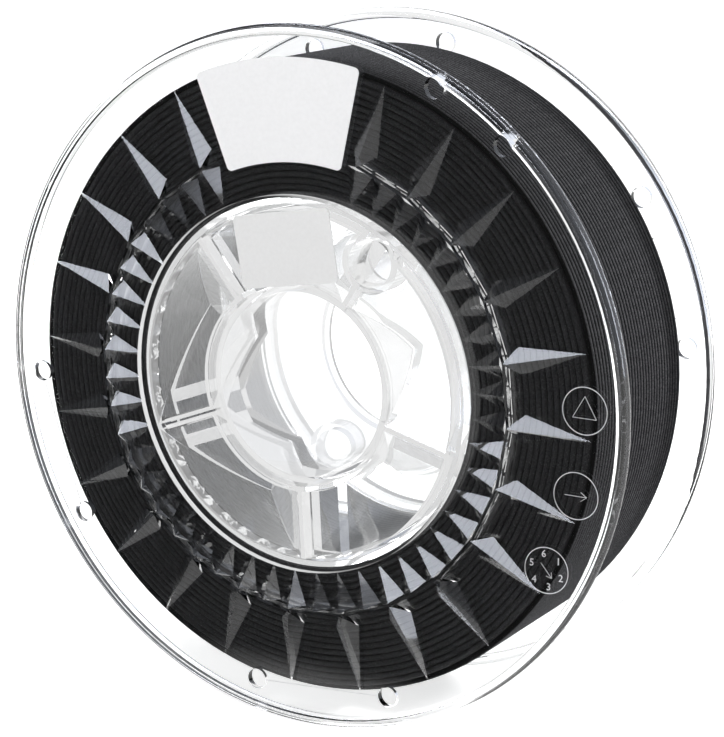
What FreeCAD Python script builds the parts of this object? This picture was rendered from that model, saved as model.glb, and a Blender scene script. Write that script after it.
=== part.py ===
"""Clear two-part filament spool with a full winding of 1.75 mm filament.

Each piece is drawn face up: X is right, Y is up on the front view and Z points at the viewer.
A last quarter turn about X stands the spool on its rim, with its bore along Y and its front at -Y.
"""
import os
import re
import math
import FreeCAD, Part
import Sketcher
from FreeCAD import Placement, Rotation, Vector

doc = FreeCAD.newDocument("filament_spool")

X_AXIS = Vector(1, 0, 0)
Z_AXIS = Vector(0, 0, 1)
UPRIGHT = Placement(Vector(0, 0, 0), Rotation(X_AXIS, 90))

# Driving dimensions, lengths in millimetres and angles in degrees
SIZES = [
    ("overall_width", 66.0, "rim to rim"),
    ("flange_radius", 100.0, "outside of the rim"),
    ("rim_width", 3.5, "thickness of the rounded rim, across the radius"),
    ("rim_depth", 6.0, "length of the rounded rim, along the bore"),
    ("web_recess", 3.5, "rim face down to the face of the flange web"),
    ("web_wall", 2.0, "thickness of the flange web"),
    ("drum_radius", 52.5, "drum that the winding lies on"),
    ("collar_overlap", 1.0, "collar round the hub face, beyond the drum"),
    ("drum_wall", 1.6, "wall of the drum tube"),
    ("bore_radius", 26.5, "spindle bore"),
    ("bore_wall", 1.8, "wall of the bore tube"),
    ("lip_wall", 1.5, "wall of the lip round the bore"),
    ("lip_depth", 3.0, "lip face down to the end of the bore tube"),
    ("half_clearance", 0.2, "gap between the two mouldings"),
    ("hub_wall", 1.3, "walls of the hub pockets"),
    ("floor_wall", 1.5, "floors of the hub pockets"),
    ("pocket_end", 10.5, "rear face up to the pocket floors"),
    ("fold_total", 5, "folds between the pockets"),
    ("fold_angle", 57.0, "first fold, anticlockwise from the right"),
    ("fold_edge", 1.3, "width of a fold at the hub face"),
    ("fold_tip", 0.6, "width of a rear pocket's closed end"),
    ("fold_draft", 10.8, "slope of each side of a fold"),
    ("drive_inset", 8.9, "edge of the collar in to the middle of a drive socket"),
    ("drive_radius", 6.7, "inside of a drive socket"),
    ("drive_wall", 1.9, "wall of a drive socket"),
    ("drive_depth", 11.5, "depth of the front drive socket"),
    ("spike_height", 3.4, "peak of a spike above the flange web"),
    ("spike_places", 24, "places for spikes in a full circle"),
    ("spike_total", 22, "spikes, two left out under the label"),
    ("spike_angle", 117.5, "first spike, anticlockwise from the right"),
    ("spike_peak", 66.2, "radius of a spike's peak"),
    ("spike_front", 3.8, "from a spike's peak out to where it is widest"),
    ("spike_width", 7.6, "greatest width of a spike"),
    ("spike_inset", 10.5, "edge of the flange in to a spike's outer end"),
    ("tooth_height", 3.2, "peak of an inner tooth above the flange web"),
    ("tooth_clearance", 0.7, "collar out to an inner tooth's narrow end"),
    ("tooth_back", 1.1, "from an inner tooth's peak in to where it is widest"),
    ("tooth_width", 4.8, "greatest width of an inner tooth"),
    ("tooth_gap", 0.9, "spikes' peaks in to the teeth's peaks"),
    ("ridge_width", 0.9, "thickness of the ridge between teeth and spikes"),
    ("ridge_height", 2.6, "ridge above the flange web"),
    ("end_hole", 3.0, "radius of the holes that hold the filament's end"),
    ("rim_hole_inset", 5.0, "edge of the flange in to the two holes beside the rim"),
    ("rim_hole_angle", 48.9, "first hole beside the rim"),
    ("rim_hole_step", 15.0, "turn between the two holes beside the rim"),
    ("web_hole_inset", 8.5, "edge of the flange in to the four holes in the web"),
    ("web_hole_angle", -175.3, "first hole in the web"),
    ("web_hole_step", 27.8, "turn between the two holes of a pair"),
    ("web_pair_step", 75.4, "turn between the two pairs"),
    ("turnover_axis", -33.0, "axis about which the rear half is turned over"),
    ("winding_inset", 10.0, "edge of the flange in to the outside of the winding"),
    ("winding_clearance", 0.2, "gap between the winding and the clear plastic"),
    ("wire_size", 1.75, "diameter of the filament, and so of the outer layer"),
    ("paper", 0.2, "thickness of the labels"),
    ("label_step", 3.9, "spikes' peaks in to the main label's inner edge"),
    ("label_inset", 9.0, "edge of the flange in to the main label's outer edge"),
    ("label_angle", 94.8, "middle of the main label"),
    ("label_span", 34.0, "turn from one side of the main label to the other"),
    ("label_corner", 1.5, "corner radius of the labels"),
    ("tag_width", 31.5, "width of the hub label"),
    ("tag_height", 20.6, "height of the hub label"),
    ("tag_tilt", 9.4, "tilt of the hub label"),
    ("tag_across", -2.5, "middle of the hub label, to the right of the bore"),
    ("tag_up", 38.8, "middle of the hub label, above the bore"),
]
WORDS = re.compile(r"\b(%s)\b" % "|".join(alias for alias, value, meaning in SIZES))

sheet = doc.addObject("Spreadsheet::Sheet", "Sizes")
for row, (alias, value, meaning) in enumerate(SIZES, start=1):
    sheet.set("A%d" % row, str(value))
    sheet.setAlias("A%d" % row, alias)
    sheet.set("B%d" % row, meaning)
doc.recompute()

# Places that several pieces share, worked out from the sheet
FACE = "(overall_width / 2)"
WEB_TOP = "(overall_width / 2 - web_recess)"
WEB_BACK = "(overall_width / 2 - web_recess - web_wall)"
BORE_OUTER = "(bore_radius + bore_wall)"
HUB_INNER = "(bore_radius + bore_wall + half_clearance)"
LIP_OUTER = "(bore_radius + bore_wall + half_clearance + lip_wall)"
POCKET_INNER = "(bore_radius + bore_wall + half_clearance + hub_wall)"
DRUM_INNER = "(drum_radius - drum_wall)"
HUB_OUTER = "(drum_radius - drum_wall - half_clearance)"
POCKET_OUTER = "(drum_radius - drum_wall - half_clearance - hub_wall)"
POCKET_DEPTH = "(overall_width - pocket_end)"
HUB_DEPTH = "(overall_width - pocket_end + floor_wall)"
PLATE_DEPTH = "(overall_width - pocket_end + floor_wall + half_clearance)"
PLATE_TOP = "(pocket_end - floor_wall - half_clearance - overall_width / 2)"
PLATE_BACK = "(pocket_end - 2 * floor_wall - half_clearance - overall_width / 2)"
COLLAR_RADIUS = "(drum_radius + collar_overlap)"
DRIVE_PLACE = "(drum_radius + collar_overlap - drive_inset)"
DRIVE_OUTER = "(drive_radius + drive_wall)"
SPIKE_SHOULDER = "(spike_peak + spike_front)"
SPIKE_END = "(flange_radius - spike_inset)"
SPIKE_STEP = "(360 / spike_places)"
TOOTH_PEAK = "(spike_peak - tooth_gap)"
TOOTH_SHOULDER = "(spike_peak - tooth_gap - tooth_back)"
TOOTH_START = "(drum_radius + collar_overlap + tooth_clearance)"
RIM_HOLE_PLACE = "(flange_radius - rim_hole_inset)"
WEB_HOLE_PLACE = "(flange_radius - web_hole_inset)"
WINDING_RADIUS = "(flange_radius - winding_inset)"
LAYER_BACK = "(flange_radius - winding_inset - wire_size)"
LABEL_INNER = "(spike_peak - label_step)"
LABEL_OUTER = "(flange_radius - label_inset)"
FOLD_STEP = "(360 / fold_total)"

# Straight steps in the half circles of the rim's front edge and of its plainer back edge
FRONT_STEPS = 4
BACK_STEPS = 2


def sized(text):
    """Expression in which every word that names a size points at the sheet."""
    return WORDS.sub(r"Sizes.\1", text)


def number(text):
    """Plain number that an expression gives now."""
    value = sheet.evalExpression(sized(text))
    return float(getattr(value, "Value", value))


def tie(item, **expressions):
    """Ties properties of an object to the sheet."""
    for name, text in expressions.items():
        item.setExpression(name, sized(text))
    return item


def turned(item, name, angle):
    """Copy of an object, turned about the spool's own axis."""
    holder = doc.addObject("Part::Compound", name)
    holder.Links = [item]
    holder.Placement = Placement(Vector(0, 0, 0), Rotation(Z_AXIS, 1))
    holder.setExpression("Placement.Rotation.Angle", sized("(%s) * 1 deg" % angle))
    return holder


def joined(name, pieces):
    fuse = doc.addObject("Part::MultiFuse", name)
    fuse.Shapes = pieces
    return fuse


def cut(name, base, tool):
    difference = doc.addObject("Part::Cut", name)
    difference.Base = base
    difference.Tool = tool
    return difference


def shared(name, first, second):
    common = doc.addObject("Part::MultiCommon", name)
    common.Shapes = [first, second]
    return common


def cylinder(name, radius, bottom, top):
    """Cylinder round the spool's axis between two heights."""
    item = doc.addObject("Part::Cylinder", name)
    tie(item, Radius=radius, Height="%s - (%s)" % (top, bottom))
    item.setExpression("Placement.Base.z", sized(bottom))
    return item


def ring(name, inner, outer, bottom, top):
    """Straight ring between two radii, its bore cut well past both ends."""
    past = "flange_radius"
    bore = cylinder(name + "_bore", inner, "%s - %s" % (bottom, past), "%s + %s" % (top, past))
    return cut(name, cylinder(name + "_blank", outer, bottom, top), bore)


def origin_feature(body, role):
    """Plane or axis of a body's own origin."""
    return [item for item in body.Origin.OriginFeatures if item.Role == role][0]


def new_sketch(body, name, plane="XY_Plane", height=None, angle="0"):
    """Sketch on an origin plane of the body, lifted and turned by expressions."""
    sketch = body.newObject("Sketcher::SketchObject", name)
    sketch.AttachmentSupport = [(origin_feature(body, plane), "")]
    sketch.MapMode = "FlatFace"
    sketch.AttachmentOffset = Placement(Vector(0, 0, 0), Rotation(Z_AXIS, 1))
    sketch.setExpression("AttachmentOffset.Rotation.Angle", sized("(%s) * 1 deg" % angle))
    if height:
        sketch.setExpression("AttachmentOffset.Base.z", sized(height))
    return sketch


def add_size(sketch, constraint, text):
    """Adds a driving constraint and ties it to the sheet."""
    index = sketch.addConstraint(constraint)
    sketch.setExpression("Constraints[%d]" % index, sized(text))


def hold_point(sketch, geometry, end, across, up):
    """Holds a point of the sketch at the place that two expressions give."""
    for kind, text in (("DistanceX", across), ("DistanceY", up)):
        add_size(sketch, Sketcher.Constraint(kind, -1, 1, geometry, end, number(text)), text)


def draw_outline(sketch, corners):
    """Closed outline of straight lines between corners given as expressions."""
    places = [Vector(number(across), number(up), 0) for across, up in corners]
    for start, end in zip(places, places[1:] + places[:1]):
        sketch.addGeometry(Part.LineSegment(start, end), False)
    for index in range(len(corners)):
        following = (index + 1) % len(corners)
        sketch.addConstraint(Sketcher.Constraint("Coincident", index, 2, following, 1))
    for index, (across, up) in enumerate(corners):
        hold_point(sketch, index, 1, across, up)


def draw_circle(sketch, radius, across, up):
    middle = Vector(number(across), number(up), 0)
    index = sketch.addGeometry(Part.Circle(middle, Z_AXIS, number(radius)), False)
    add_size(sketch, Sketcher.Constraint("Radius", index, number(radius)), radius)
    hold_point(sketch, index, 3, across, up)


def revolved(body, name, corners):
    """Profile in radius and height, revolved once round the spool's axis."""
    sketch = new_sketch(body, name + "_profile", plane="XZ_Plane")
    draw_outline(sketch, corners)
    feature = body.newObject("PartDesign::Revolution", name)
    feature.Profile = sketch
    feature.ReferenceAxis = (sketch, ["V_Axis"])
    feature.Angle = 360
    return feature


def patterned(body, feature, name, total, angle):
    """Polar pattern of a feature round the spool's axis."""
    pattern = body.newObject("PartDesign::PolarPattern", name)
    pattern.Originals = [feature]
    pattern.Axis = (origin_feature(body, "Z_Axis"), [""])
    pattern.setExpression("Occurrences", sized(total))
    pattern.setExpression("Angle", sized("(%s) * 1 deg" % angle))
    body.Tip = pattern
    doc.recompute()
    return pattern


def add_rim(body):
    """Rim with a rounded front and back edge, each a half circle in equal steps."""
    middle = "flange_radius - rim_width / 2"
    corners = []
    for steps, turn, centre in ((FRONT_STEPS, 0, FACE + " - rim_width / 2"),
                                (BACK_STEPS, 180, FACE + " - rim_depth + rim_width / 2")):
        for index in range(steps + 1):
            angle = turn + index * 180 / steps
            corners.append(("%s + rim_width / 2 * cos(%g deg)" % (middle, angle),
                            "%s + rim_width / 2 * sin(%g deg)" % (centre, angle)))
    revolved(body, "rim", corners)
    doc.recompute()


def add_peaks(body, name, foot, peak, height, angle, total, step):
    """Kite-shaped pyramids with their peak over one corner, in a polar pattern."""
    base = new_sketch(body, name + "_foot", height=WEB_TOP, angle=angle)
    draw_outline(base, foot)
    top = new_sketch(body, name + "_peak", height="%s + %s" % (WEB_TOP, height), angle=angle)
    top.addGeometry(Part.Point(Vector(number(peak), 0, 0)), False)
    hold_point(top, 0, 1, peak, "0")
    feature = body.newObject("PartDesign::AdditiveLoft", name)
    feature.Profile = base
    feature.Sections = [(top, ["Vertex1"])]
    feature.Ruled = True
    doc.recompute()
    patterned(body, feature, name + "_ring", total, step)


def build_flange():
    """Flange of either half: web, collar, rim, sunburst relief and end holes."""
    body = doc.addObject("PartDesign::Body", "flange")
    revolved(body, "web", [
        (POCKET_OUTER, WEB_BACK),
        ("flange_radius - rim_width / 2", WEB_BACK),
        ("flange_radius - rim_width / 2", WEB_TOP),
        (COLLAR_RADIUS, WEB_TOP),
        (COLLAR_RADIUS, FACE),
        (POCKET_OUTER, FACE),
    ])
    doc.recompute()
    add_rim(body)
    gaps = "(spike_total - 1)"
    add_peaks(body, "spike", [
        ("spike_peak", "0"),
        (SPIKE_SHOULDER, "spike_width / 2"),
        (SPIKE_END, "0"),
        (SPIKE_SHOULDER, "-spike_width / 2"),
    ], "spike_peak", "spike_height", "spike_angle", "spike_total", gaps + " * " + SPIKE_STEP)
    add_peaks(body, "tooth", [
        (TOOTH_PEAK, "0"),
        (TOOTH_SHOULDER, "tooth_width / 2"),
        (TOOTH_START, "0"),
        (TOOTH_SHOULDER, "-tooth_width / 2"),
    ], TOOTH_PEAK, "tooth_height", "spike_angle", "2 * spike_total - 1",
        gaps + " * " + SPIKE_STEP)
    add_ridge(body)
    add_end_holes(body)
    return body


def add_ridge(body):
    """Thin straight ridges from each spike's peak to the next."""
    sketch = new_sketch(body, "ridge_outline", height=WEB_TOP,
                        angle="spike_angle + %s / 2" % SPIKE_STEP)
    middle = "spike_peak * cos(%s / 2 * 1 deg)" % SPIKE_STEP
    half = "(spike_peak * sin(%s / 2 * 1 deg) + ridge_width / 3)" % SPIKE_STEP
    draw_outline(sketch, [
        (middle + " - ridge_width / 2", "-" + half),
        (middle + " + ridge_width / 2", "-" + half),
        (middle + " + ridge_width / 2", half),
        (middle + " - ridge_width / 2", half),
    ])
    feature = body.newObject("PartDesign::Pad", "ridge")
    feature.Profile = sketch
    tie(feature, Length="ridge_height")
    doc.recompute()
    patterned(body, feature, "ridge_ring", "spike_total - 1",
              "(spike_total - 2) * " + SPIKE_STEP)


def add_end_holes(body):
    """Holes through the flange that hold the filament's end."""
    sketch = new_sketch(body, "end_hole_places", height=FACE)
    places = [
        (RIM_HOLE_PLACE, "rim_hole_angle"),
        (RIM_HOLE_PLACE, "rim_hole_angle + rim_hole_step"),
        (WEB_HOLE_PLACE, "web_hole_angle"),
        (WEB_HOLE_PLACE, "web_hole_angle + web_hole_step"),
        (WEB_HOLE_PLACE, "web_hole_angle + web_pair_step"),
        (WEB_HOLE_PLACE, "web_hole_angle + web_pair_step + web_hole_step"),
    ]
    for radius, angle in places:
        draw_circle(sketch, "end_hole", "%s * cos((%s) * 1 deg)" % (radius, angle),
                    "%s * sin((%s) * 1 deg)" % (radius, angle))
    feature = body.newObject("PartDesign::Pocket", "end_holes")
    feature.Profile = sketch
    feature.Type = "ThroughAll"
    doc.recompute()


def fold(name, inset, depth):
    """Tapered bar from the axis outwards, the shape of a fold with its sides moved inwards."""
    bar = doc.addObject("Part::Wedge", name)
    slope = "tan(fold_draft * 1 deg)"
    begin = "max(0; (%s + fold_tip / 2 - fold_edge / 2) / %s)" % (inset, slope)
    start = "(fold_edge / 2 - (%s) + %s * %s)" % (inset, begin, slope)
    end = "(fold_edge / 2 - (%s) + %s * %s)" % (inset, depth, slope)
    tie(bar, Xmin="0", X2min="0", Xmax=COLLAR_RADIUS, X2max=COLLAR_RADIUS,
        Ymin=begin, Ymax=depth, Zmin="-" + start, Zmax=start, Z2min="-" + end, Z2max=end)
    bar.Placement = Placement(Vector(0, 0, 0), Rotation(X_AXIS, -90))
    bar.setExpression("Placement.Base.z", sized(FACE))
    return bar


def folds(name, bar):
    """The bar repeated at every fold of the hub."""
    total = int(number("fold_total"))
    return joined(name, [turned(bar, "%s_%d" % (name, index),
                                "fold_angle + %d * %s" % (index, FOLD_STEP))
                         for index in range(total)])


def drive_socket(name, angle, bottom, top):
    """Solid post and the bore through it, both standing beside the drum wall."""
    post = cylinder(name + "_post", DRIVE_OUTER, bottom, top)
    bore = cylinder(name + "_hole", "drive_radius", bottom, top + " + web_recess")
    for item in (post, bore):
        tie(item, **{"Placement.Base.x": DRIVE_PLACE})
    return turned(post, name + "_post_place", angle), turned(bore, name + "_hole_place", angle)


def build_front_half(flange):
    """Front moulding: flange, lip and five tapered pockets, one between each pair of folds."""
    hub = ring("hub_block", HUB_INNER, HUB_OUTER, "%s - %s" % (FACE, HUB_DEPTH), FACE)
    lip = ring("lip", HUB_INNER, LIP_OUTER, "%s - lip_depth" % FACE, FACE)
    space = ring("pocket_space", POCKET_INNER, POCKET_OUTER,
                 "%s - %s" % (FACE, POCKET_DEPTH), "%s + web_recess" % FACE)
    walls = folds("fold_walls", fold("fold_wall", "0", "%s + floor_wall" % HUB_DEPTH))
    pockets = cut("pockets", space, walls)
    gaps = folds("fold_gaps", fold("fold_gap", "hub_wall", "%s + floor_wall" % HUB_DEPTH))
    post, hole = drive_socket("front_socket", "fold_angle", "%s - drive_depth" % FACE, FACE)
    inside = cylinder("hub_envelope", HUB_OUTER, "%s - %s" % (FACE, HUB_DEPTH), FACE)
    folded = cut("folded_hub", cut("pocketed_hub", hub, pockets), gaps)
    whole = joined("front_blank", [folded, flange, lip, shared("socket_wall", post, inside)])
    return cut("front_half", whole, hole)


def build_rear_half(flange):
    """Rear moulding: the same flange turned over, drum, bore tube, back plate and pockets."""
    turned_over = doc.addObject("Part::Compound", "rear_flange")
    turned_over.Links = [flange]
    axis = math.radians(number("turnover_axis"))
    turned_over.Placement.Rotation = Rotation(Vector(math.cos(axis), math.sin(axis), 0), 180)
    drum = ring("drum", DRUM_INNER, "drum_radius", "-" + FACE + " + web_recess",
                WEB_BACK + " - half_clearance / 2")
    tube = ring("bore_tube", "bore_radius", BORE_OUTER, "-" + FACE + " + lip_depth",
                FACE + " - lip_depth")
    lip = ring("rear_lip", HUB_INNER, LIP_OUTER, "-" + FACE, "-" + FACE + " + lip_depth")
    step = ring("rear_step", "bore_radius", LIP_OUTER, "-" + FACE + " + lip_depth",
                PLATE_TOP)
    plate = ring("back_plate", "bore_radius + bore_wall / 2", "drum_radius - drum_wall / 2",
                 PLATE_BACK, PLATE_TOP)
    tips = "%s - drive_depth - hub_wall" % FACE
    inside = ring("rear_hub_space", "bore_radius + bore_wall / 2",
                  "drum_radius - drum_wall / 2", PLATE_BACK, tips)
    clear = "hub_wall + half_clearance"
    depth = "%s + 3 * floor_wall" % PLATE_DEPTH
    blades = shared("blades", folds("blade_bars", fold("blade_bar", clear, depth)), inside)
    hollow = ring("blade_space", BORE_OUTER, DRUM_INNER,
                  PLATE_BACK + " - floor_wall", tips + " - 2 * hub_wall")
    holes = shared("blade_hollows", hollow,
                   folds("hollow_bars", fold("hollow_bar", "2 * hub_wall + half_clearance", depth)))
    post, hole = drive_socket("rear_socket", "fold_angle + 180", "-" + FACE, PLATE_BACK)
    whole = joined("rear_blank", [turned_over, drum, tube, lip, step, plate, blades, post])
    through = joined("rear_openings", [holes, hole])
    return cut("rear_half", whole, through)


def build_winding(name, inside, outside):
    """Ring of wound filament between two radii, clear of both flanges."""
    body = doc.addObject("PartDesign::Body", name)
    end = "(%s - winding_clearance)" % WEB_BACK
    revolved(body, name + "_turns", [
        (inside, "-" + end),
        (outside, "-" + end),
        (outside, end),
        (inside, end),
    ])
    return body


def build_main_label():
    """Paper label, a sector of a ring with rounded corners, in the flange's bare window."""
    body = doc.addObject("PartDesign::Body", "main_label")
    sketch = new_sketch(body, "main_label_outline", height=WEB_TOP,
                        angle="label_angle - label_span / 2")
    inner = number(LABEL_INNER)
    outer = number(LABEL_OUTER)
    span = math.radians(number("label_span"))
    for radius in (inner, outer):
        sketch.addGeometry(Part.ArcOfCircle(Part.Circle(Vector(0, 0, 0), Z_AXIS, radius),
                                            0, span), False)
        index = sketch.GeometryCount - 1
        sketch.addConstraint(Sketcher.Constraint("Coincident", index, 3, -1, 1))
    for angle in (0, span):
        ray = Vector(math.cos(angle), math.sin(angle), 0)
        sketch.addGeometry(Part.LineSegment(ray * inner, ray * outer), False)
    for line, end in ((2, 1), (3, 2)):
        sketch.addConstraint(Sketcher.Constraint("Coincident", 0, end, line, 1))
        sketch.addConstraint(Sketcher.Constraint("Coincident", 1, end, line, 2))
    add_size(sketch, Sketcher.Constraint("Radius", 0, inner), LABEL_INNER)
    add_size(sketch, Sketcher.Constraint("Radius", 1, outer), LABEL_OUTER)
    for line, angle in ((2, "0"), (3, "label_span")):
        for end, radius in ((1, LABEL_INNER), (2, LABEL_OUTER)):
            rise = "%s * sin((%s) * 1 deg)" % (radius, angle)
            add_size(sketch, Sketcher.Constraint("DistanceY", -1, 1, line, end, number(rise)),
                     rise)
    return padded_paper(body, sketch, "main_label")


def build_hub_label():
    """Paper label over the hub's top pocket, from the collar down to the lip."""
    body = doc.addObject("PartDesign::Body", "hub_label")
    sketch = new_sketch(body, "hub_label_outline", height=FACE, angle="tag_tilt")
    tilt = "(tag_tilt * 1 deg)"
    across = "(tag_across * cos%s + tag_up * sin%s)" % (tilt, tilt)
    up = "(tag_up * cos%s - tag_across * sin%s)" % (tilt, tilt)
    draw_outline(sketch, [
        (across + " - tag_width / 2", up + " - tag_height / 2"),
        (across + " + tag_width / 2", up + " - tag_height / 2"),
        (across + " + tag_width / 2", up + " + tag_height / 2"),
        (across + " - tag_width / 2", up + " + tag_height / 2"),
    ])
    return padded_paper(body, sketch, "hub_label")


def padded_paper(body, sketch, name):
    """Pads a label's outline to its paper's thickness and rounds its corners."""
    pad = body.newObject("PartDesign::Pad", name + "_paper")
    pad.Profile = sketch
    tie(pad, Length="paper")
    doc.recompute()
    corners = ["Edge%d" % (index + 1) for index, edge in enumerate(pad.Shape.Edges)
               if is_upright(edge)]
    fillet = body.newObject("PartDesign::Fillet", name + "_corners")
    fillet.Base = (pad, corners)
    tie(fillet, Radius="label_corner")
    return body


def is_upright(edge):
    """Whether an edge runs through the paper from face to face."""
    low, high = edge.BoundBox.ZMin, edge.BoundBox.ZMax
    return high - low > number("paper") / 2


def hand_over(pieces):
    """Stands every piece upright, checks it and writes it under its own name."""
    for name, item in pieces.items():
        item.Label = name
        item.Placement = UPRIGHT
    doc.recompute()
    faults = [item.Name for item in doc.Objects
              if "Invalid" in item.State or "Error" in item.State]
    if faults:
        raise RuntimeError("these objects failed: " + ", ".join(faults))
    for name, item in pieces.items():
        if item.Shape.isNull() or not item.Shape.isValid():
            raise RuntimeError(name + " has no valid shape")
        if len(item.Shape.Solids) != 1:
            raise RuntimeError("%s has %d solids" % (name, len(item.Shape.Solids)))
    os.makedirs("parts", exist_ok=True)
    for name, item in pieces.items():
        item.Shape.exportStep("parts/%s.step" % name)
        print("%s: %.0f cubic mm, %d faces"
              % (name, item.Shape.Volume, len(item.Shape.Faces)))


flange_body = build_flange()
spool = {
    "front_half": build_front_half(flange_body),
    "rear_half": build_rear_half(flange_body),
    "filament_core": build_winding("filament_core", "drum_radius + winding_clearance",
                                   LAYER_BACK + " - winding_clearance"),
    "filament_outer_layer": build_winding("filament_outer_layer", LAYER_BACK,
                                          WINDING_RADIUS),
    "main_label": build_main_label(),
    "hub_label": build_hub_label(),
}
hand_over(spool)
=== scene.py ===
import bpy
import math
from functools import cached_property
from mathutils import Matrix, Vector


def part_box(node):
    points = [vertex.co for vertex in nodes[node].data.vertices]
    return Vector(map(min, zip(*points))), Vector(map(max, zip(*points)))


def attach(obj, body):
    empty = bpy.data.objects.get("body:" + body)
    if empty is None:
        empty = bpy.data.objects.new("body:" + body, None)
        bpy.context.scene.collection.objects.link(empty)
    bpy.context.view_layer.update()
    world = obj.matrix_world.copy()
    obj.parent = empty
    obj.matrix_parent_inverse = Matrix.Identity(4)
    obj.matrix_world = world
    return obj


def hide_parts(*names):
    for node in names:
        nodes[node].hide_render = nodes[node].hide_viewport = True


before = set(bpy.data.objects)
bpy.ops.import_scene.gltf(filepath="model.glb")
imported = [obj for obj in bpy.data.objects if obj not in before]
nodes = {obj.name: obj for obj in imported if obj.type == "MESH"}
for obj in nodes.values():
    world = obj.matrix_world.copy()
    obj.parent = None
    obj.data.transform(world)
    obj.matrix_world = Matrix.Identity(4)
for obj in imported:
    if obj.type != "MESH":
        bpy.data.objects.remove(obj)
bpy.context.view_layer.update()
MM = 0.001

# The photograph's frame, in pixels, and the camera that fits it
FRAME_WIDTH = 724
FRAME_HEIGHT = 737
FOCAL_PIXELS = 2381.6
ORIGIN_ACROSS = -6.72
ORIGIN_DOWN = -5.29
SENSOR_WIDTH = 36.0
CAMERA_AZIMUTH = 30.83
CAMERA_ELEVATION = 13.72
CAMERA_DISTANCE = 0.688

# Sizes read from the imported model, in metres
front_low, front_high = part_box("front_half")
winding_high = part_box("filament_outer_layer")[1]
label_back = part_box("main_label")[1]
FLANGE_RADIUS = front_high.x
FACE = -front_low.y
WEB_FACE = -label_back.y
WINDING_RADIUS = winding_high.x
WINDING_END = winding_high.y

# Flanges and hub; angles are in degrees, anticlockwise from the right
WEB_WALL = 2.0 * MM
WEB_BACK = WEB_FACE - WEB_WALL
DRUM_RADIUS = 52.5 * MM
HUB_EDGE = 53.7 * MM
POCKET_EDGE = 49.2 * MM
RING_DEPTH = 28.5 * MM
RIM_WIDTH = 3.5 * MM
RIM_DEPTH = 6.0 * MM
RIM_SHRINK = 0.7
RIM_STEPS = 288
SMOOTH_FROM = 96.45 * MM
ROUND_WALL = 0.998
END_HOLE = 3.0 * MM
WEB_HOLE_PLACE = 91.5 * MM
RIM_HOLE_PLACE = 95.0 * MM
FRONT_RIM_HOLES = (48.9, 63.9)
REAR_RIM_HOLES = (-114.9, -129.9)

# Inner teeth: first tooth and turn to the next, and a shoulder's place along and across a tooth
FRONT_TOOTH = 117.5
REAR_TOOTH = 176.5
TOOTH_STEP = 7.5
TOOTH_SHOULDER = (64.2 * MM, 2.4 * MM)
WIDE_SHOULDER = (64.6 * MM, 4.1 * MM)

# Winding
WIRE = 1.75 * MM
WIRE_SIDES = 8
WIRE_TURNS = 30
WIRE_START = 100
TURN_STEPS = 128
LAYERS = 21
WINDING_GAP = 0.2 * MM

# Raised marks on the front web
MARK_PLACE = 87.4 * MM
MARK_RING = 6.4 * MM
MARK_ANGLES = (2.7, -12.7, -28.1)
MARK_LINE = 0.28 * MM
MARK_HEIGHT = 0.2 * MM
LINE_TOP = 0.4
TRIANGLE_REACH = 0.62 * MARK_RING
HEAD_TURN = 145
DIAL_ARROW = (-50, 0.8 * MARK_RING)
NUMBERS = range(1, 7)
NUMBER_STEP = -60
NUMBER_START = 100
NUMBER_REACH = 0.72 * MARK_RING
NUMBER_SIZE = 0.45 * MARK_RING
GUIDE_LINES = ((-175.3, -147.5), (-99.9, -72.1))
GUIDE_END = 0.3 * MM

# How close vertices count as one, or as lying at a given radius or height
MERGED = 0.01 * MM
MERGED_TEXT = 0.005 * MM
MERGED_SKIN = 0.002 * MM
AT_RADIUS = 0.02 * MM
AT_HEIGHT = 0.01 * MM
BESIDE_RIM = 0.05 * MM

# Painted glow of the clear plastic: the hub's walls and rays that bounced many times glow though
# they are no lamp
CAUGHT_DEPTH = 8.5
PAINTED_GLOW_STRENGTH = 0.85
PAINTED_WALL_GLOW = 0.28
WALL_FACING = (0.7, 0.4)
PAINTED_TRAPPED_GLOW = 0.5
TRAPPED_DEPTH = (0.4, 2.6)

# Light that the backdrop gives, falling off to the right
WORLD_LIGHT = 0.45
WORLD_THROUGH = 0.9
RIGHT_EDGE = (0.5, -0.4)
RIGHT_SHARE = 0.1

# The room that a reflection finds: its levels, and its edges as parts of a direction
MIRRORED_TINT = (0.86, 0.90, 1.0)
ROOM = 0.30
ROOM_THROUGH = 0.60
ROOM_EDGE = (-0.05, -0.3)
CEILING = 0.25
CEILING_EDGE = (0.55, 0.9)
GAP = 0.03
GAP_THROUGH = 0.06
GAP_TOWARDS = (-0.497, -0.834, -0.237)
GAP_EDGE = (0.80, 0.93)
LEFT_WALL = 0.15
LEFT_WALL_EDGE = (-0.35, -0.55)
LEFT_WALL_FOOT = (-0.08, 0.0)
SOFTBOX = 9.0
SOFTBOX_ACROSS = ((-0.665, -0.645), (0.47, 0.42))
SOFTBOX_UP = ((0.47, 0.52), (0.985, 0.96))
STRIP_EDGE = (0.62, 0.70)
STRIP_END = (0.6, 0.5)

# The floor, and where a reflection finds it painted dim or bright, in metres
FLOOR_SIZE = 6
FLOOR_GLOW = 0.78
CLEAR_FLOOR = 1.0
CLEAR_BACK = (-0.075, -0.045)
CLEAR_RIGHT = (0.02, 0.08)
LEFT_FLOOR = 7.0
LEFT_FLOOR_EDGE = (-0.17, -0.22)
LEFT_FLOOR_FRONT = (-0.04, 0.0)
NEAR_FLOOR = 3.5
NEAR_FLOOR_ACROSS = ((0.002, 0.008), (0.056, 0.048))
NEAR_FLOOR_BACK = ((-0.048, -0.042), (-0.006, -0.012))


def deselect_all():
    bpy.ops.object.select_all(action="DESELECT")


def picked(item):
    """Makes one object the only one selected and active."""
    deselect_all()
    item.select_set(True)
    bpy.context.view_layer.objects.active = item
    return item


def apply_place(item):
    """Puts an object's place into its mesh."""
    picked(item)
    bpy.ops.object.transform_apply(location=True, rotation=True, scale=True)
    return item


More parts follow.
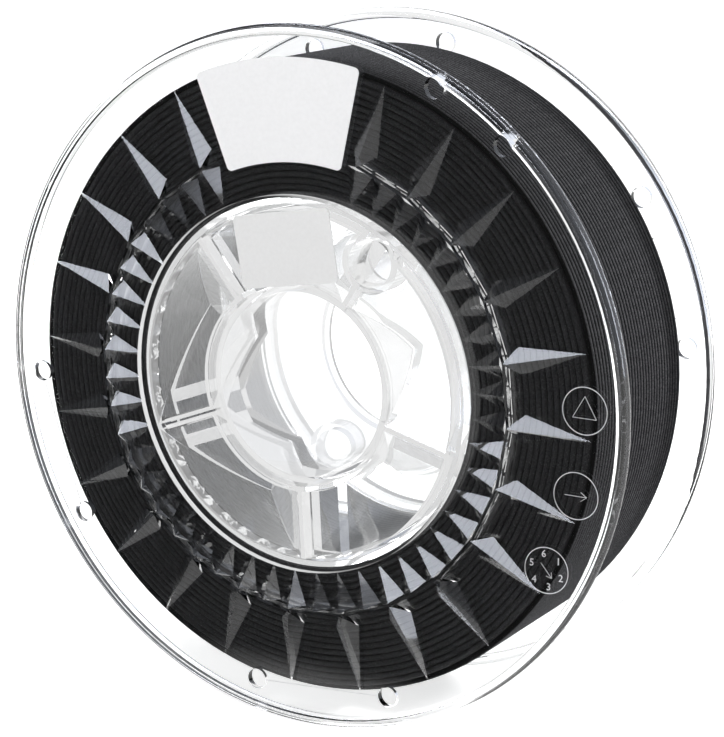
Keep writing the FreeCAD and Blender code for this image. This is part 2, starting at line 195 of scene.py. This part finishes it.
def add_modifier(item, kind, **settings):
    """Adds a modifier with its settings and applies it."""
    picked(item)
    modifier = item.modifiers.new(kind.title(), kind)
    for name, value in settings.items():
        setattr(modifier, name, value)
    bpy.ops.object.modifier_apply(modifier=modifier.name)
    return item


def combine(item, other, operation, **settings):
    """Joins another closed mesh to the item, or cuts it away, and drops it."""
    add_modifier(item, "BOOLEAN", object=other, operation=operation, solver="EXACT", **settings)
    bpy.data.objects.remove(other)
    return item


def mend_mesh(item, merged=0.0, outward=True):
    """Merges vertices that lie closer than a distance and turns all faces outward."""
    picked(item)
    bpy.ops.object.mode_set(mode="EDIT")
    bpy.ops.mesh.select_all(action="SELECT")
    if merged:
        bpy.ops.mesh.remove_doubles(threshold=merged)
    if outward:
        bpy.ops.mesh.normals_make_consistent(inside=False)
    bpy.ops.object.mode_set(mode="OBJECT")
    return item


def joined(items, name):
    """Joins objects into the first of them."""
    deselect_all()
    for item in items:
        item.select_set(True)
    bpy.context.view_layer.objects.active = items[0]
    bpy.ops.object.join()
    items[0].name = name
    items[0].data.name = name
    return items[0]


def smooth(item, angle):
    picked(item)
    bpy.ops.object.shade_smooth_by_angle(angle=math.radians(angle))
    return item


def dress(item, material):
    item.data.materials.clear()
    item.data.materials.append(material)
    return item


def hand_over(piece, node):
    """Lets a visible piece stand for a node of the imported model."""
    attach(piece, "root")
    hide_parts(node)
    return piece


def polar(radius, angle):
    """Point across and up on the front view, from a radius and an angle in degrees."""
    turn = math.radians(angle)
    return Vector((math.cos(turn), math.sin(turn))) * radius


class Tree:
    """Short calls for the nodes of a world or a material."""

    def __init__(self, tree):
        self.nodes = tree.nodes
        self.links = tree.links

    @cached_property
    def path(self):
        """What the light's path was up to here."""
        return self.add("LightPath").outputs

    def put(self, value, socket):
        """Links an output to a socket, or gives the socket a plain value."""
        if isinstance(value, bpy.types.NodeSocket):
            self.links.new(value, socket)
        else:
            socket.default_value = value

    def add(self, kind, **inputs):
        """New node with its inputs given by name."""
        node = self.nodes.new("ShaderNode" + kind)
        for name, value in inputs.items():
            self.put(value, node.inputs[name.replace("_", " ")])
        return node

    def math(self, operation, first, second=0.0):
        node = self.add("Math")
        node.operation = operation
        self.put(first, node.inputs[0])
        self.put(second, node.inputs[1])
        return node.outputs["Value"]

    def product(self, first, *others):
        for other in others:
            first = self.math("MULTIPLY", first, other)
        return first

    def rise(self, value, low, high, start=0.0, end=1.0):
        """Smooth step of a value from start to end."""
        node = self.add("MapRange", From_Min=low, From_Max=high, To_Min=start, To_Max=end)
        node.interpolation_type = "SMOOTHSTEP"
        self.put(value, node.inputs["Value"])
        return node.outputs["Result"]

    def band(self, value, lower, upper):
        """1 between a lower and an upper soft edge."""
        return self.product(self.rise(value, *lower), self.rise(value, *upper))

    def blend(self, share, first, second):
        """First where the share is 0, second where it is 1."""
        change = self.math("SUBTRACT", second, first)
        return self.math("ADD", first, self.product(share, change))

    def axes(self, output):
        return self.add("SeparateXYZ", Vector=output).outputs

    def radius(self, place):
        """Distance from the spool's axis."""
        squares = [self.product(place[axis], place[axis]) for axis in "XZ"]
        return self.math("SQRT", self.math("ADD", *squares))

    def gap(self, towards):
        """1 in directions near the dark gap between the backdrops."""
        node = self.add("VectorMath")
        node.operation = "DOT_PRODUCT"
        self.put(towards, node.inputs[0])
        node.inputs[1].default_value = GAP_TOWARDS
        return self.rise(node.outputs["Value"], *GAP_EDGE)

    def seen(self):
        """1 for what is seen: directly, in a gloss or through clear plastic."""
        share = self.math("MAXIMUM", self.path["Is Camera Ray"], self.path["Is Glossy Ray"])
        return self.math("MAXIMUM", share, self.path["Is Transmission Ray"])

    def mirrored(self):
        """1 for what a ray meets after any reflection."""
        return self.math("MINIMUM", self.path["Glossy Depth"], 1.0)

    def mirrored_once(self):
        """1 for what a ray meets after no more than one reflection."""
        return self.math("LESS_THAN", self.path["Glossy Depth"], 1.5)

    def mix(self, share, first, second):
        """Mixed shader: first where the share is 0, second where it is 1."""
        node = self.add("MixShader")
        for value, socket in zip((share, first, second), node.inputs):
            self.put(value, socket)
        return node.outputs["Shader"]

    def emission(self, strength):
        return self.add("Emission", Color=(1, 1, 1, 1), Strength=strength).outputs["Emission"]


class Shader(Tree):
    """A node material with one principled shader."""

    def __init__(self, name):
        self.material = bpy.data.materials.new(name)
        self.material.use_nodes = True
        super().__init__(self.material.node_tree)
        self.surface = self.nodes["Principled BSDF"]
        self.output = self.nodes["Material Output"]
        texture = self.add("TexCoord").outputs
        self.coordinates = texture["Object"]
        self.normals = texture["Normal"]

    def set(self, **values):
        """Gives the principled shader's inputs plain values, or links outputs to them."""
        for name, value in values.items():
            self.put(value, self.surface.inputs[name.replace("_", " ")])
        return self

    def noise(self, scale, detail, roughness=0.5):
        node = self.add("TexNoise", Vector=self.coordinates, Scale=scale, Detail=detail,
                        Roughness=roughness)
        return node.outputs["Fac"]

    def ramp(self, value, low, high):
        """Colour that runs from one place and colour to another."""
        node = self.add("ValToRGB", Fac=value)
        for element, (place, colour) in zip(node.color_ramp.elements, (low, high)):
            element.position = place
            element.color = (*colour, 1.0)
        return node.outputs["Color"]

    def bump(self, height, strength, distance):
        node = self.add("Bump", Height=height, Strength=strength, Distance=distance)
        return self.set(Normal=node.outputs["Normal"])

    def finish(self, shader):
        """Makes a shader the material's surface."""
        self.put(shader, self.output.inputs["Surface"])
        return self.material


def grey(level):
    return (level, level, level)


def clear_plastic(name, tint, roughness):
    """Clear moulded polystyrene with faint flow marks.

    Its hub walls, rays reflected inside the hub and rays that bounced many times get a painted
    pale glow, in place of light caught between its many walls."""
    shader = Shader(name)
    shader.set(Base_Color=(*tint, 1.0), Roughness=roughness, IOR=1.58, Transmission_Weight=1.0)
    shader.bump(shader.noise(scale=45.0, detail=3.0), strength=0.03, distance=0.6 * MM)
    place = shader.axes(shader.coordinates)
    radius = shader.radius(place)
    in_hub = shader.math("LESS_THAN", radius, HUB_EDGE)
    in_pockets = shader.math("LESS_THAN", radius, POCKET_EDGE)
    in_ring = shader.math("GREATER_THAN", shader.math("ABSOLUTE", place["Y"]), RING_DEPTH)
    facing = shader.math("ABSOLUTE", shader.axes(shader.normals)["Y"])
    # Painted glow on the hub's side walls, in the pockets and the deep ring
    wall_glow_share = shader.product(shader.math("MAXIMUM", in_pockets, in_ring), in_hub,
                           shader.rise(facing, *WALL_FACING), PAINTED_WALL_GLOW)
    # Painted glow where a ray meets the hub after reflections
    trapped_glow_share = shader.product(in_hub, shader.rise(shader.path["Glossy Depth"], *TRAPPED_DEPTH,
                                                 0.0, PAINTED_TRAPPED_GLOW))
    # Painted glow where a ray has bounced many times
    caught_glow_share = shader.math("GREATER_THAN", shader.path["Ray Depth"], CAUGHT_DEPTH)
    painted_glow = shader.math("MAXIMUM", caught_glow_share, shader.math("MAXIMUM", wall_glow_share, trapped_glow_share))
    return shader.finish(shader.mix(painted_glow, shader.surface.outputs["BSDF"],
                                    shader.emission(PAINTED_GLOW_STRENGTH)))


def frosted_plastic(name, tint):
    """Matt skin of the raised marks, as the etched mould leaves it."""
    shader = Shader(name)
    grain = shader.noise(scale=3000.0, detail=3.0)
    shader.set(Base_Color=(*tint, 1.0), IOR=1.58, Transmission_Weight=0.4,
               Roughness=shader.ramp(grain, (0.3, grey(0.45)), (0.7, grey(0.65))))
    shader.bump(grain, strength=0.2, distance=0.05 * MM)
    return shader.material


def filament_black(name, painted_ridge_light=False):
    """Matt black filament with a fine fibre fleck in its skin.

    On the outer turns, the crowns are painted paler and the grooves between them are painted
    darker: painted light and shade on the ridges."""
    shader = Shader(name)
    fleck = shader.noise(scale=2600.0, detail=3.0, roughness=0.65)
    colour = shader.ramp(fleck, (0.35, (0.018, 0.018, 0.019)), (0.75, (0.070, 0.070, 0.074)))
    if painted_ridge_light:
        # Painted light and shade across each outer turn: crowns painted paler, grooves between
        # them painted darker
        radius = shader.radius(shader.axes(shader.coordinates))
        painted_crown_shade = shader.rise(radius, WINDING_RADIUS - 0.45 * MM, WINDING_RADIUS, 0.1, 2.2)
        scaled = shader.add("VectorMath")
        scaled.operation = "SCALE"
        shader.put(colour, scaled.inputs[0])
        shader.put(painted_crown_shade, scaled.inputs["Scale"])
        colour = scaled.outputs["Vector"]
    shader.set(Base_Color=colour, Specular_IOR_Level=0.02,
               Roughness=shader.ramp(fleck, (0.3, grey(0.62)), (0.8, grey(0.42))))
    shader.bump(fleck, strength=0.35, distance=0.1 * MM)
    return shader.material


def label_paper(name, colour):
    """Coated white label paper with a faint fibre grain."""
    shader = Shader(name)
    grain = shader.noise(scale=900.0, detail=4.0)
    low = tuple(part * 0.96 for part in colour)
    shader.set(Base_Color=shader.ramp(grain, (0.3, low), (0.7, colour)), Roughness=0.45)
    shader.bump(grain, strength=0.08, distance=0.05 * MM)
    return shader.material


def set_camera():
    """Camera at the photograph's place, from the fit of the rims."""
    azimuth = math.radians(CAMERA_AZIMUTH)
    elevation = math.radians(CAMERA_ELEVATION)
    back = Vector((math.sin(azimuth) * math.cos(elevation),
                   -math.cos(azimuth) * math.cos(elevation), math.sin(elevation)))
    right = Vector((math.cos(azimuth), math.sin(azimuth), 0))
    up = back.cross(right)
    across = ORIGIN_ACROSS / FOCAL_PIXELS * CAMERA_DISTANCE
    down = ORIGIN_DOWN / FOCAL_PIXELS * CAMERA_DISTANCE
    place = back * CAMERA_DISTANCE - right * across + up * down
    data = bpy.data.cameras.new("camera")
    data.sensor_width = SENSOR_WIDTH
    data.lens = SENSOR_WIDTH * FOCAL_PIXELS / max(FRAME_WIDTH, FRAME_HEIGHT)
    data.clip_start = 0.05
    data.clip_end = 20
    camera = bpy.data.objects.new("camera", data)
    bpy.context.scene.collection.objects.link(camera)
    camera.matrix_world = Matrix((
        (right.x, up.x, back.x, place.x),
        (right.y, up.y, back.y, place.y),
        (right.z, up.z, back.z, place.z),
        (0, 0, 0, 1),
    ))
    bpy.context.scene.camera = camera


def soft_lamp(name, place, aim, size, power):
    """Square studio softbox turned towards a point, which no gloss or clear piece shows."""
    data = bpy.data.lights.new(name, "AREA")
    data.shape = "SQUARE"
    data.size = size
    data.energy = power
    lamp = bpy.data.objects.new(name, data)
    bpy.context.scene.collection.objects.link(lamp)
    lamp.location = place
    lamp.rotation_mode = "QUATERNION"
    lamp.rotation_quaternion = (Vector(aim) - Vector(place)).to_track_quat("-Z", "Y")
    lamp.visible_glossy = False
    lamp.visible_transmission = False


def mirrored_room(tree, towards):
    """Level of the room in each direction of a reflection.

    The backdrop is white behind. The front is dim, with a dark gap low at the left, a dark
    left wall, a wide softbox above and a bright strip at the right."""
    direction = tree.axes(towards)
    through = tree.path["Is Transmission Ray"]
    front = tree.rise(direction["Y"], *ROOM_EDGE)
    ceiling = tree.rise(direction["Z"], *CEILING_EDGE, 1.0, CEILING)
    room = tree.blend(front, ceiling, tree.blend(through, ROOM, ROOM_THROUGH))
    room = tree.blend(tree.gap(towards), room, tree.blend(through, GAP, GAP_THROUGH))
    wall = tree.product(tree.rise(direction["X"], *LEFT_WALL_EDGE),
                        tree.rise(direction["Z"], *LEFT_WALL_FOOT))
    room = tree.blend(wall, room, LEFT_WALL)
    softbox = tree.product(tree.band(direction["X"], *SOFTBOX_ACROSS),
                           tree.band(direction["Z"], *SOFTBOX_UP))
    strip = tree.product(tree.rise(direction["X"], *STRIP_EDGE),
                         tree.rise(tree.math("ABSOLUTE", direction["Z"]), *STRIP_END))
    bright = tree.product(tree.math("MAXIMUM", softbox, strip), front, tree.mirrored_once())
    return tree.blend(bright, room, SOFTBOX)


def set_world():
    """White backdrop, a plain grey level for the light it gives, and a studio to mirror."""
    world = bpy.data.worlds.new("studio")
    bpy.context.scene.world = world
    world.use_nodes = True
    tree = Tree(world.node_tree)
    background = tree.nodes["Background"]
    towards = tree.add("TexCoord").outputs["Generated"]
    shown = tree.blend(tree.mirrored(), 1.0, mirrored_room(tree, towards))
    share = tree.rise(tree.axes(towards)["X"], *RIGHT_EDGE, RIGHT_SHARE, 1.0)
    scattered = tree.math("MINIMUM", tree.path["Diffuse Depth"], 1.0)
    shown = tree.blend(scattered, shown, tree.product(share, WORLD_THROUGH))
    light = tree.product(share, WORLD_LIGHT)
    tree.put(tree.blend(tree.seen(), light, shown), background.inputs["Strength"])
    colour = tree.add("CombineXYZ")
    for part, socket in zip(MIRRORED_TINT, colour.inputs):
        tree.put(tree.blend(tree.mirrored(), 1.0, part), socket)
    tree.put(colour.outputs["Vector"], background.inputs["Color"])


def mirrored_floor(shader):
    """Painted level of the floor where a reflection finds it: painted dim in front, with two
    painted bright patches.
    """
    place = shader.axes(shader.coordinates)
    clear = shader.math("MAXIMUM", shader.rise(place["Y"], *CLEAR_BACK),
                        shader.rise(place["X"], *CLEAR_RIGHT))
    left = shader.product(shader.rise(place["X"], *LEFT_FLOOR_EDGE),
                          shader.rise(place["Y"], *LEFT_FLOOR_FRONT))
    near = shader.product(shader.band(place["X"], *NEAR_FLOOR_ACROSS),
                          shader.band(place["Y"], *NEAR_FLOOR_BACK))
    dim = shader.blend(shader.path["Is Transmission Ray"], GAP, GAP_THROUGH)
    level = shader.blend(clear, dim, CLEAR_FLOOR)
    level = shader.blend(left, level, LEFT_FLOOR)
    return shader.blend(near, level, NEAR_FLOOR)


def set_floor():
    """Plain pale floor under the rim, which keeps a faint shadow."""
    bpy.ops.mesh.primitive_plane_add(size=FLOOR_SIZE, location=(0, 0, -FLANGE_RADIUS))
    floor = apply_place(bpy.context.object)
    floor.name = "floor"
    shader = Shader("floor_white")
    shader.set(Base_Color=(*grey(0.92), 1), Roughness=0.9)
    lit = shader.add("AddShader")
    shader.put(shader.surface.outputs["BSDF"], lit.inputs[0])
    shader.put(shader.emission(shader.product(shader.seen(), FLOOR_GLOW)), lit.inputs[1])
    dress(floor, shader.finish(shader.mix(shader.product(shader.mirrored(), shader.seen()),
                                          lit.outputs["Shader"],
                                          shader.emission(mirrored_floor(shader)))))


def turned_ring(item, steps):
    """Turns a profile in the XZ plane once round the spool's axis into a closed ring."""
    add_modifier(item, "SCREW", axis="Z", steps=steps, render_steps=steps,
                 use_merge_vertices=True)
    item.rotation_euler = (math.radians(90), 0, 0)
    return mend_mesh(apply_place(item), MERGED)


def make_outer_layer(material):
    """Outer layer: one wire wound as an even helix from flange to flange."""
    radius = WINDING_RADIUS - WIRE / 2
    reach = WINDING_END - WIRE / 2
    deselect_all()
    bpy.ops.mesh.primitive_circle_add(vertices=WIRE_SIDES, radius=WIRE / 2, fill_type="NOTHING",
                                      location=(radius, 0, -reach))
    wire = apply_place(bpy.context.object)
    bpy.ops.object.mode_set(mode="EDIT")
    bpy.ops.mesh.select_all(action="SELECT")
    bpy.ops.transform.rotate(value=math.radians(90), orient_axis="X",
                             center_override=(radius, 0, -reach))
    bpy.ops.object.mode_set(mode="OBJECT")
    steps = TURN_STEPS * WIRE_TURNS
    add_modifier(wire, "SCREW", axis="Z", angle=2 * math.pi * WIRE_TURNS, screw_offset=2 * reach,
                 steps=steps, render_steps=steps, use_merge_vertices=False)
    wire.name = "wound_wire"
    bpy.ops.object.mode_set(mode="EDIT")
    bpy.ops.mesh.select_all(action="DESELECT")
    bpy.ops.mesh.select_non_manifold()
    bpy.ops.mesh.edge_face_add()
    bpy.ops.object.mode_set(mode="OBJECT")
    mend_mesh(wire)
    wire.rotation_euler = (math.radians(90), math.radians(WIRE_START), 0)
    smooth(apply_place(wire), 60)
    return hand_over(dress(wire, material), "filament_outer_layer")


def make_layers(material):
    """Inner layers: a hollow core, with the turns that show at both flanges and on the drum."""
    half = WINDING_END - WIRE / 2
    inside = DRUM_RADIUS + WINDING_GAP
    step = (WINDING_RADIUS - WIRE - inside) / (LAYERS - 1)
    turns = [(inside + WIRE / 2 + step * layer, side * half)
             for side in (-1, 1) for layer in range(LAYERS - 1)]
    turns += [(inside + WIRE / 2, -half + 2 * half / (WIRE_TURNS - 1) * turn)
              for turn in range(1, WIRE_TURNS - 1)]
    rings = []
    for radius, place in turns:
        deselect_all()
        bpy.ops.mesh.primitive_torus_add(major_radius=radius, minor_radius=WIRE / 2,
                                         major_segments=TURN_STEPS, minor_segments=WIRE_SIDES,
                                         location=(0, place, 0),
                                         rotation=(math.radians(90), 0, 0))
        rings.append(apply_place(bpy.context.object))
    deselect_all()
    bpy.ops.mesh.primitive_plane_add(size=1, location=((inside + WINDING_RADIUS - WIRE / 2) / 2,
                                                       0, 0), rotation=(math.radians(90), 0, 0))
    core = bpy.context.object
    core.scale = (WINDING_RADIUS - 1.5 * WIRE - inside, 2 * half, 1)
    turned_ring(apply_place(core), TURN_STEPS)
    layers = smooth(joined([core] + rings, "wound_layers"), 50)
    return hand_over(dress(layers, material), "filament_core")


def make_rim(side):
    """Rim of one flange: a half-round edge in front and behind, straight between them."""
    deselect_all()
    bpy.ops.mesh.primitive_circle_add(vertices=32, radius=RIM_WIDTH / 2, fill_type="NOTHING",
                                      location=(FLANGE_RADIUS - RIM_WIDTH / 2, 0,
                                                FACE - RIM_WIDTH / 2),
                                      rotation=(math.radians(90), 0, 0))
    rim = apply_place(bpy.context.object)
    for vertex in rim.data.vertices:
        vertex.select = vertex.co.z < FACE - RIM_WIDTH / 2 - 0.1 * MM
    bpy.ops.object.mode_set(mode="EDIT")
    bpy.ops.transform.translate(value=(0, 0, RIM_WIDTH - RIM_DEPTH))
    bpy.ops.object.mode_set(mode="OBJECT")
    turned_ring(rim, RIM_STEPS)
    if side > 0:
        rim.scale = (1, -1, 1)
        mend_mesh(apply_place(rim))
    return rim


def mark_line(start, end):
    """Straight raised line with a narrow top, half sunk in the front web."""
    along = end - start
    middle = (start + end) / 2
    deselect_all()
    bpy.ops.mesh.primitive_cube_add(size=1, scale=(along.length, 2 * MARK_HEIGHT, MARK_LINE))
    line = apply_place(bpy.context.object)
    for vertex in line.data.vertices:
        vertex.select = vertex.co.y < 0
    bpy.ops.object.mode_set(mode="EDIT")
    bpy.ops.transform.resize(value=(1, 1, LINE_TOP))
    bpy.ops.object.mode_set(mode="OBJECT")
    line.rotation_euler = (0, -math.atan2(along.y, along.x), 0)
    line.location = (middle.x, -WEB_FACE, middle.y)
    return apply_place(line)


def mark_ring(middle):
    """Round raised line, half sunk in the front web."""
    deselect_all()
    bpy.ops.mesh.primitive_torus_add(major_radius=MARK_RING, minor_radius=MARK_LINE / 2,
                                     major_segments=72, minor_segments=6,
                                     location=(middle.x, -WEB_FACE, middle.y),
                                     rotation=(math.radians(90), 0, 0))
    return apply_place(bpy.context.object)


def mark_number(middle, number):
    """Plain raised number, half sunk in the front web."""
    deselect_all()
    bpy.ops.object.text_add(location=(middle.x, -WEB_FACE, middle.y),
                            rotation=(math.radians(90), 0, 0))
    text = picked(bpy.context.object)
    text.data.body = str(number)
    text.data.size = NUMBER_SIZE
    text.data.align_x = "CENTER"
    text.data.align_y = "CENTER"
    text.data.resolution_u = 2
    text.data.extrude = MARK_HEIGHT
    bpy.ops.object.convert(target="MESH")
    return mend_mesh(apply_place(bpy.context.object), MERGED_TEXT)


def arrow_lines(middle, angle, length):
    """Raised lines of an arrow: its shaft and the two sides of its head."""
    half = polar(length / 2, angle)
    tip = middle + half
    lines = [mark_line(middle - half, tip)]
    for side in (-1, 1):
        lines.append(mark_line(tip, tip + polar(length / 3, angle + side * HEAD_TURN)))
    return lines


def make_marks(material):
    """Mould marks of the front web: three rings, with a triangle, an arrow and a dial.

    Two guide lines lie between the pairs of end holes."""
    triangle, arrow, dial = (polar(MARK_PLACE, angle) for angle in MARK_ANGLES)
    pieces = [mark_ring(middle) for middle in (triangle, arrow, dial)]
    corners = [triangle + polar(TRIANGLE_REACH, 90 + 120 * corner) for corner in range(3)]
    pieces += [mark_line(corners[corner - 1], corners[corner]) for corner in range(3)]
    pieces += arrow_lines(arrow, 0, MARK_RING)
    pieces += arrow_lines(dial, *DIAL_ARROW)
    for number in NUMBERS:
        place = dial + polar(NUMBER_REACH, NUMBER_START + NUMBER_STEP * number)
        pieces.append(mark_number(place, number))
    for first, last in GUIDE_LINES:
        start, end = polar(WEB_HOLE_PLACE, first), polar(WEB_HOLE_PLACE, last)
        inset = (end - start).normalized() * (END_HOLE + GUIDE_END)
        pieces.append(mark_line(start + inset, end - inset))
    marks = pieces[0]
    for piece in pieces[1:]:
        combine(marks, piece, "UNION")
    return dress(marks, material)


def widen_teeth(piece, first):
    """Moves the shoulders of the inner teeth apart until each tooth nearly meets the next."""
    near = math.hypot(*TOOTH_SHOULDER)
    wide = math.hypot(*WIDE_SHOULDER)
    spread = math.atan2(WIDE_SHOULDER[1], WIDE_SHOULDER[0])
    for vertex in piece.data.vertices:
        place = vertex.co
        on_shoulder = abs(math.hypot(place.x, place.z) - near) <= AT_RADIUS
        if on_shoulder and abs(abs(place.y) - WEB_FACE) <= AT_HEIGHT:
            angle = math.degrees(math.atan2(place.z, place.x))
            middle = first + TOOTH_STEP * round((angle - first) / TOOTH_STEP)
            turn = math.radians(middle) + math.copysign(spread, angle - middle)
            vertex.co = (math.cos(turn) * wide, place.y, math.sin(turn) * wide)


def shrink_rim(piece, side):
    """Draws the plain rim in until the finely rounded one covers it."""
    middle = FLANGE_RADIUS - RIM_WIDTH / 2
    height = FACE - RIM_DEPTH / 2
    for vertex in piece.data.vertices:
        place = vertex.co
        radius = math.hypot(place.x, place.z)
        if radius > FLANGE_RADIUS - RIM_WIDTH - BESIDE_RIM:
            shrunk = (middle + (radius - middle) * RIM_SHRINK) / radius
            up = abs(place.y)
            if min(abs(up - WEB_FACE), abs(up - WEB_BACK)) >= AT_HEIGHT:
                up = height + (up - height) * RIM_SHRINK
            vertex.co = (place.x * shrunk, side * up, place.z * shrunk)


def drill(piece, side, angle):
    """Opens one of the holes beside the rim."""
    middle = polar(RIM_HOLE_PLACE, angle)
    deselect_all()
    bpy.ops.mesh.primitive_cylinder_add(vertices=48, radius=END_HOLE, depth=3 * RIM_DEPTH,
                                        location=(middle.x, side * (FACE - RIM_DEPTH / 2),
                                                  middle.y),
                                        rotation=(math.radians(90), 0, 0))
    combine(piece, apply_place(bpy.context.object), "DIFFERENCE")


def smooth_round_faces(piece):
    """Smooths the rim and the round walls, and leaves the relief's facets flat."""
    smooth(piece, 25)
    for face in piece.data.polygons:
        across = Vector((face.center.x, 0, face.center.z))
        round_wall = abs(face.normal.dot(across.normalized())) > ROUND_WALL
        face.use_smooth = across.length > SMOOTH_FROM or round_wall


def make_moulding(node, name, material, side, first_tooth, hole_angles, marks=None):
    """Clear moulding with a finely rounded rim, its loose triangles merged into one skin."""
    piece = bpy.data.objects.new(name, nodes[node].data.copy())
    bpy.context.scene.collection.objects.link(piece)
    picked(piece)
    bpy.ops.mesh.customdata_custom_splitnormals_clear()
    mend_mesh(piece, MERGED_SKIN, outward=False)
    dress(piece, material)
    widen_teeth(piece, first_tooth)
    shrink_rim(piece, side)
    combine(piece, make_rim(side), "UNION")
    for angle in hole_angles:
        drill(piece, side, angle)
    if marks:
        combine(piece, marks, "UNION", material_mode="TRANSFER")
    smooth_round_faces(piece)
    return hand_over(piece, node)


set_camera()
set_world()
set_floor()
soft_lamp("key_lamp", place=(-0.1, -0.8, 0.9), aim=(0, 0, 0), size=0.8, power=10.5)
soft_lamp("side_lamp", place=(0.95, 0.85, 0.45), aim=(0.06, 0, 0), size=0.25, power=18)
bpy.context.scene.view_settings.view_transform = "Standard"

make_moulding("front_half", "front_moulding",
              clear_plastic("clear_front_plastic", (0.985, 0.99, 0.99), 0.02),
              -1, FRONT_TOOTH, FRONT_RIM_HOLES,
              make_marks(frosted_plastic("frosted_marks", (0.86, 0.86, 0.88))))
make_moulding("rear_half", "rear_moulding",
              clear_plastic("clear_rear_plastic", (0.98, 0.985, 0.99), 0.03),
              1, REAR_TOOTH, REAR_RIM_HOLES)
dress(nodes["main_label"], label_paper("main_label_paper", (0.90, 0.90, 0.91)))
dress(nodes["hub_label"], label_paper("hub_label_paper", grey(0.80)))
# Outer layer, with painted light on the crowns of its turns and painted shade between them
make_outer_layer(filament_black("outer_filament_black", painted_ridge_light=True))
make_layers(filament_black("filament_black"))
